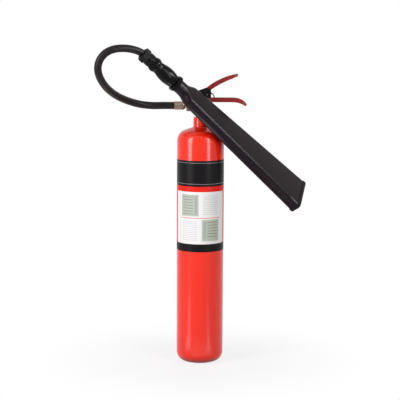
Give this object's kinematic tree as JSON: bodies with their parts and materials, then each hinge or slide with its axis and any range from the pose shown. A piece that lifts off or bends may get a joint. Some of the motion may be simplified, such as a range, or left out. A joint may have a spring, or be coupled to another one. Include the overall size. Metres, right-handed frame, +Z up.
{
  "type": "fire extinguisher",
  "caption": "Red carbon dioxide fire extinguisher bottle with a squeeze-grip valve, a stiff black hose and a long flat discharge horn on a swivelling union.",
  "frame": {"origin": "centre of the bottle's flat foot, on the floor", "axes": "+Z up along the bottle; the levers point towards +X and the hose leaves the valve towards -X; the horn hangs in front, at -Y"},
  "size_m": [0.6277, 0.3203, 0.9641],
  "materials": {
    "red_paint": "glossy red enamel on steel",
    "label_print": "printed vinyl label in plain colour blocks",
    "dark_red_paint": "matte dark red powder coat on pressed steel",
    "black_paint": "satin black coat on a forged body",
    "brass": "dull brass with a copper cast",
    "steel": "plain zinc-plated steel",
    "rubber": "black nitrile",
    "seal_plastic": "ivory seal plastic",
    "hose_rubber": "black rubber with a slight sheen",
    "black_plastic": "moulded black plastic, satin to glossy",
    "horn_plastic": "moulded brown-black plastic, satin"
  },
  "bodies": {
    "extinguisher": {"bottle": "red_paint", "label": "label_print", "dip_tube": "steel", "siphon_adapter": "brass", "neck_seal": "rubber", "valve_body": "black_paint", "burst_disc": "steel", "burst_disc_plug": "brass", "gland_nut": "brass", "gland_seal": "rubber", "valve_spring": "steel", "carry_handle": "dark_red_paint", "handle_rivets": "steel", "lever_pivot_pin": "steel", "union_nut": "brass", "hose_washer": "rubber"},
    "lever": {"operating_lever": "dark_red_paint"},
    "stem": {"valve_stem": "steel", "valve_poppet": "brass", "poppet_seal": "seal_plastic"},
    "safety_pin": {"safety_pin": "steel"},
    "pull_ring": {"pull_ring": "black_plastic"},
    "hose_and_horn": {"hose_tail": "brass", "valve_end_ferrule": "brass", "hose": "hose_rubber", "horn_end_ferrule": "black_paint", "horn_end_tail": "brass", "grip_nut": "black_plastic", "horn_grip": "black_plastic", "horn_collar": "black_plastic", "discharge_pipe": "steel", "discharge_jet": "brass", "horn_throat": "horn_plastic", "horn_top_plate": "horn_plastic", "horn_under_plate": "horn_plastic", "horn_front_side": "horn_plastic", "horn_back_side": "horn_plastic"}
  },
  "joints": [
    {"name": "lever_squeeze", "type": "hinge", "parent": "extinguisher", "child": "lever", "pos_m": [-0.012, 0, 0.812], "axis": [0, 1, 0], "range_deg": [0, 15], "stiffness_Nm_per_rad": 12, "springref_deg": -11.46},
    {"name": "stem_slide", "type": "slide", "parent": "extinguisher", "child": "stem", "axis": [0, 0, -1], "range_m": [0, 0.0033], "deforming": ["valve_spring"]},
    {"name": "pin_pull", "type": "slide", "parent": "extinguisher", "child": "safety_pin", "axis": [0, 1, 0], "range_m": [0, 0.04]},
    {"name": "ring_swing", "type": "hinge", "parent": "safety_pin", "child": "pull_ring", "pos_m": [0.019, 0.025, 0.8125], "axis": [0.788, 0, 0.6157], "range_deg": [0, 80]},
    {"name": "hose_swivel", "type": "hinge", "parent": "extinguisher", "child": "hose_and_horn", "pos_m": [-0.04, 0, 0.779], "axis": [-1, 0, 0], "range_deg": [0, 40]}
  ],
  "couplings": [
    {"joint": "stem_slide", "follows": "lever_squeeze", "m_per_rad": 0.012}
  ]
}
